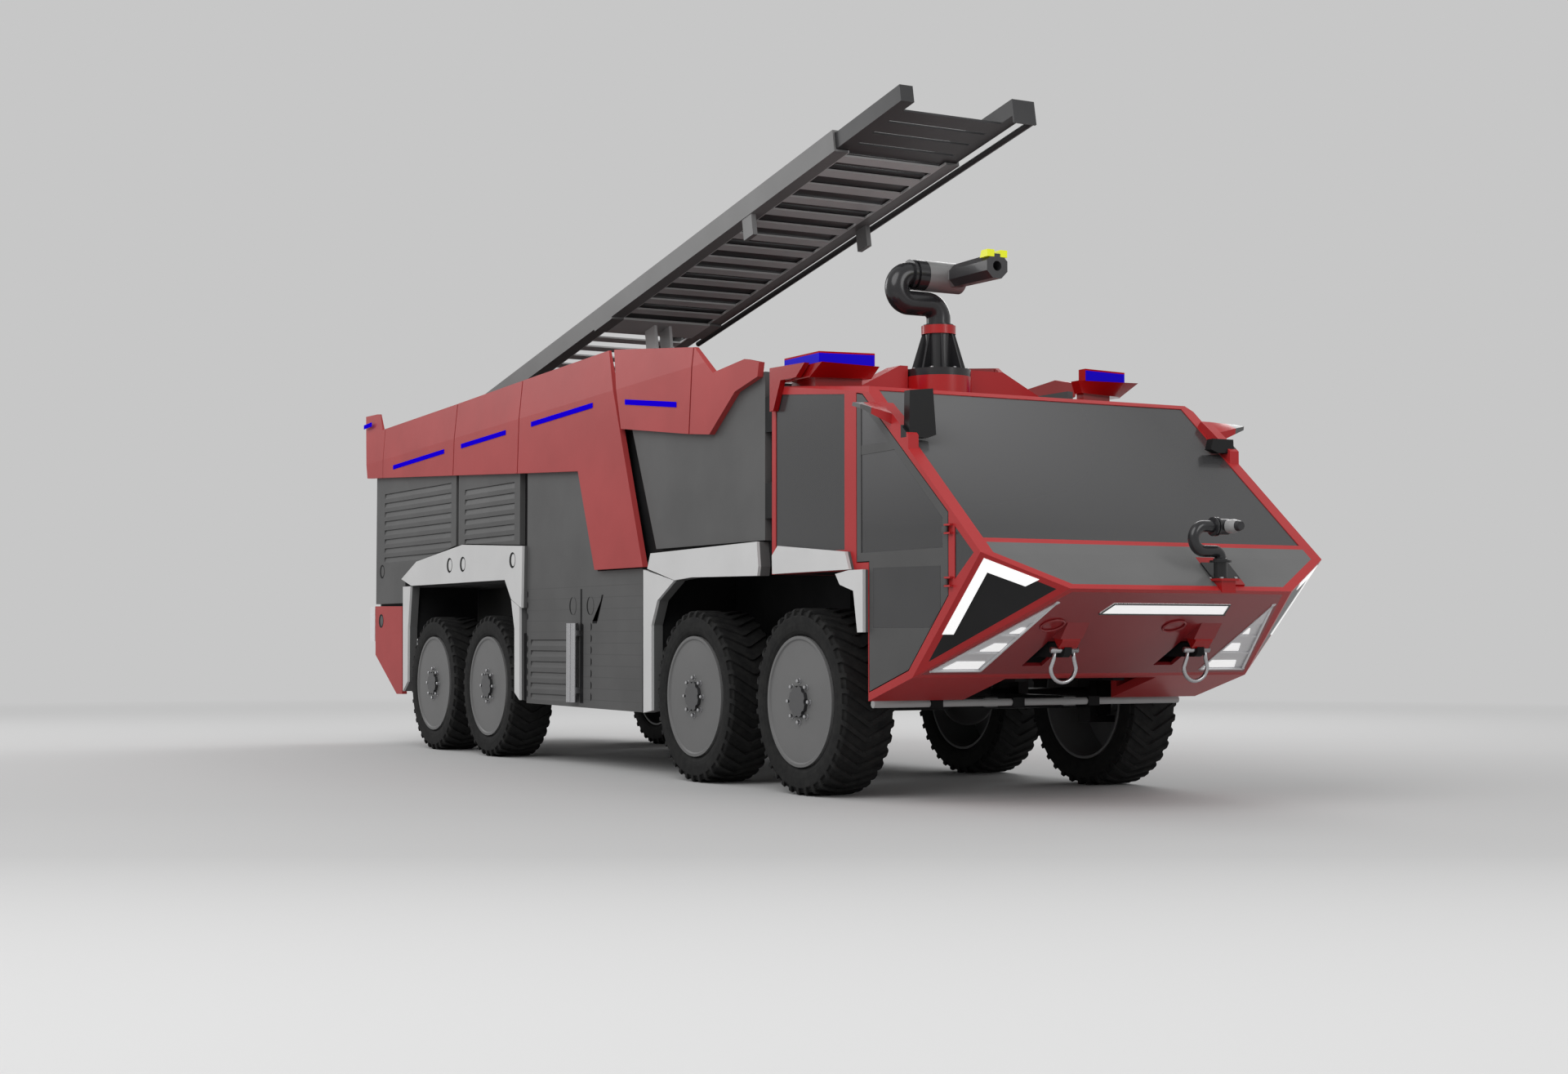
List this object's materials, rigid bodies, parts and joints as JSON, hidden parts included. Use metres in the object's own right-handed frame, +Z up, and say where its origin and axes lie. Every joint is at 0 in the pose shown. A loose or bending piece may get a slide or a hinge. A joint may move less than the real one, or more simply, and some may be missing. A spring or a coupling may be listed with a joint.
{
  "type": "airport fire truck",
  "caption": "Airport crash tender: faceted glass cab, steered front axles, roof ladder with lift cylinder, roof and bumper water monitors, hinged doors.",
  "frame": {"origin": "on the ground under the middle of the vehicle's bounding box", "axes": "+X forwards, +Y to the vehicle's left, +Z up"},
  "size_m": [12.95, 3.4, 5.4146],
  "materials": {
    "tyre": "matte rubber",
    "rim_metal": "satin",
    "chassis_black": "semi-matte",
    "dark_glass": "gloss, tinted",
    "red_paint": "satin",
    "deep_red_paint": "gloss",
    "grey_panel": "satin",
    "white_trim": "satin",
    "blue_lens": "gloss",
    "lamp_lens": "gloss",
    "red_lens": "gloss",
    "ladder_metal": "satin",
    "bright_steel": "satin",
    "monitor_grey": "satin",
    "gloss_black": "gloss",
    "white_paint": "satin",
    "cast_block": "matte",
    "dark_body": "satin"
  },
  "bodies": {
    "chassis": {"arch_trims": "white_trim", "axles": "chassis_black", "beacon_trays": "deep_red_paint", "beacons": "blue_lens", "body_lower": "dark_body", "body_upper": "dark_body", "bumper": "deep_red_paint", "cab_frame": "red_paint", "cab_roof": "white_paint", "cab_tub": "dark_body", "camera_pods": "red_paint", "chassis_frame": "chassis_black", "corner_panels": "dark_glass", "engine_block": "cast_block", "flank_pipes": "dark_body", "frame_members": "chassis_black", "front_lamps": "lamp_lens", "hood_panel": "deep_red_paint", "ladder_bracket": "ladder_metal", "locker_panels": "grey_panel", "nose_monitor_base": "deep_red_paint", "roof_monitor_base": "gloss_black", "side_panes": "dark_glass", "tail_lamps": "red_lens", "tow_jaw": "chassis_black", "tow_shackles": "bright_steel", "upper_panels": "red_paint", "windscreen": "dark_glass"},
    "knuckle_1_left": {"knuckle_1_left": "chassis_black"},
    "wheel_1_left": {"tyre_1_left": "tyre", "rim_1_left": "rim_metal"},
    "knuckle_1_right": {"knuckle_1_right": "chassis_black"},
    "wheel_1_right": {"tyre_1_right": "tyre", "rim_1_right": "rim_metal"},
    "knuckle_2_left": {"knuckle_2_left": "chassis_black"},
    "wheel_2_left": {"tyre_2_left": "tyre", "rim_2_left": "rim_metal"},
    "knuckle_2_right": {"knuckle_2_right": "chassis_black"},
    "wheel_2_right": {"tyre_2_right": "tyre", "rim_2_right": "rim_metal"},
    "wheel_3_left": {"tyre_3_left": "tyre", "rim_3_left": "rim_metal"},
    "wheel_3_right": {"tyre_3_right": "tyre", "rim_3_right": "rim_metal"},
    "wheel_4_left": {"tyre_4_left": "tyre", "rim_4_left": "rim_metal"},
    "wheel_4_right": {"tyre_4_right": "tyre", "rim_4_right": "rim_metal"},
    "door_left": {"door_left": "red_paint", "door_glass_left": "dark_glass"},
    "door_right": {"door_right": "red_paint", "door_glass_right": "dark_glass"},
    "roof_monitor_riser": {"roof_monitor_riser": "gloss_black"},
    "roof_monitor_barrel": {"roof_monitor_barrel": "monitor_grey"},
    "nose_monitor_riser": {"nose_monitor_riser": "gloss_black"},
    "nose_monitor_barrel": {"nose_monitor_barrel": "monitor_grey"},
    "ladder_base": {"ladder_base": "ladder_metal"},
    "ladder_fly": {"ladder_fly": "ladder_metal"},
    "lift_barrel": {"lift_barrel": "chassis_black"},
    "lift_rod": {"lift_rod": "bright_steel"}
  },
  "joints": [
    {"name": "steer_1_left", "type": "hinge", "parent": "chassis", "child": "knuckle_1_left", "pos_m": [3.72, 1.278, 0.69], "axis": [0, 0, 1], "range_deg": [-30, 30]},
    {"name": "roll_1_left", "type": "hinge", "parent": "knuckle_1_left", "child": "wheel_1_left", "pos_m": [3.72, 1.278, 0.69], "axis": [0, 1, 0], "continuous": true},
    {"name": "steer_1_right", "type": "hinge", "parent": "chassis", "child": "knuckle_1_right", "pos_m": [3.72, -1.278, 0.69], "axis": [0, 0, 1], "range_deg": [-30, 30]},
    {"name": "roll_1_right", "type": "hinge", "parent": "knuckle_1_right", "child": "wheel_1_right", "pos_m": [3.72, -1.278, 0.69], "axis": [0, 1, 0], "continuous": true},
    {"name": "steer_2_left", "type": "hinge", "parent": "chassis", "child": "knuckle_2_left", "pos_m": [1.984, 1.278, 0.69], "axis": [0, 0, 1], "range_deg": [-23.4, 23.4]},
    {"name": "roll_2_left", "type": "hinge", "parent": "knuckle_2_left", "child": "wheel_2_left", "pos_m": [1.984, 1.278, 0.69], "axis": [0, 1, 0], "continuous": true},
    {"name": "steer_2_right", "type": "hinge", "parent": "chassis", "child": "knuckle_2_right", "pos_m": [1.984, -1.278, 0.69], "axis": [0, 0, 1], "range_deg": [-23.4, 23.4]},
    {"name": "roll_2_right", "type": "hinge", "parent": "knuckle_2_right", "child": "wheel_2_right", "pos_m": [1.984, -1.278, 0.69], "axis": [0, 1, 0], "continuous": true},
    {"name": "roll_3_left", "type": "hinge", "parent": "chassis", "child": "wheel_3_left", "pos_m": [-2.548, 1.278, 0.69], "axis": [0, 1, 0], "continuous": true},
    {"name": "roll_3_right", "type": "hinge", "parent": "chassis", "child": "wheel_3_right", "pos_m": [-2.548, -1.278, 0.69], "axis": [0, 1, 0], "continuous": true},
    {"name": "roll_4_left", "type": "hinge", "parent": "chassis", "child": "wheel_4_left", "pos_m": [-4.1, 1.278, 0.69], "axis": [0, 1, 0], "continuous": true},
    {"name": "roll_4_right", "type": "hinge", "parent": "chassis", "child": "wheel_4_right", "pos_m": [-4.1, -1.278, 0.69], "axis": [0, 1, 0], "continuous": true},
    {"name": "door_left_swing", "type": "hinge", "parent": "chassis", "child": "door_left", "pos_m": [5.686, 1.472, 1.7], "axis": [0, 0, -1], "range_deg": [0, 75]},
    {"name": "door_right_swing", "type": "hinge", "parent": "chassis", "child": "door_right", "pos_m": [5.686, -1.472, 1.7], "axis": [0, 0, 1], "range_deg": [0, 75]},
    {"name": "ladder_raise", "type": "hinge", "parent": "chassis", "child": "ladder_base", "pos_m": [-5.55, 0, 3.65], "axis": [0, -1, 0], "range_deg": [-5.5, 50]},
    {"name": "ladder_extend", "type": "slide", "parent": "ladder_base", "child": "ladder_fly", "axis": [0.9836, 0, 0.1805], "range_m": [-0.985, 3.8]},
    {"name": "lift_barrel_swing", "type": "hinge", "parent": "chassis", "child": "lift_barrel", "pos_m": [-4.3, 0, 3.23], "axis": [0, -1, 0], "range_deg": [-8, 62]},
    {"name": "lift_rod_slide", "type": "slide", "parent": "lift_barrel", "child": "lift_rod", "axis": [0.9624, 0, 0.2717], "range_m": [-0.116, 0.975]},
    {"name": "roof_monitor_pan", "type": "hinge", "parent": "chassis", "child": "roof_monitor_riser", "pos_m": [3.555, -0.15, 3.5831], "axis": [0, 0, 1], "range_deg": [-160, 160]},
    {"name": "roof_monitor_tilt", "type": "hinge", "parent": "roof_monitor_riser", "child": "roof_monitor_barrel", "pos_m": [3.555, -0.15, 3.9676], "axis": [0, -1, 0], "range_deg": [-15, 70]},
    {"name": "nose_monitor_pan", "type": "hinge", "parent": "chassis", "child": "nose_monitor_riser", "pos_m": [6.29, 0.35, 1.6845], "axis": [0, 0, 1], "range_deg": [-90, 90]},
    {"name": "nose_monitor_tilt", "type": "hinge", "parent": "nose_monitor_riser", "child": "nose_monitor_barrel", "pos_m": [6.29, 0.35, 1.913], "axis": [0, -1, 0], "range_deg": [-20, 60]}
  ],
  "couplings": [
    {"joint": "steer_1_right", "follows": "steer_1_left", "ratio": 1},
    {"joint": "steer_2_left", "follows": "steer_1_left", "ratio": 0.78},
    {"joint": "steer_2_right", "follows": "steer_1_left", "ratio": 0.78},
    {"joint": "lift_barrel_swing", "follows": "ladder_raise", "ratio": 1.2133},
    {"joint": "lift_rod_slide", "follows": "ladder_raise", "m_per_rad": 1.1059}
  ]
}
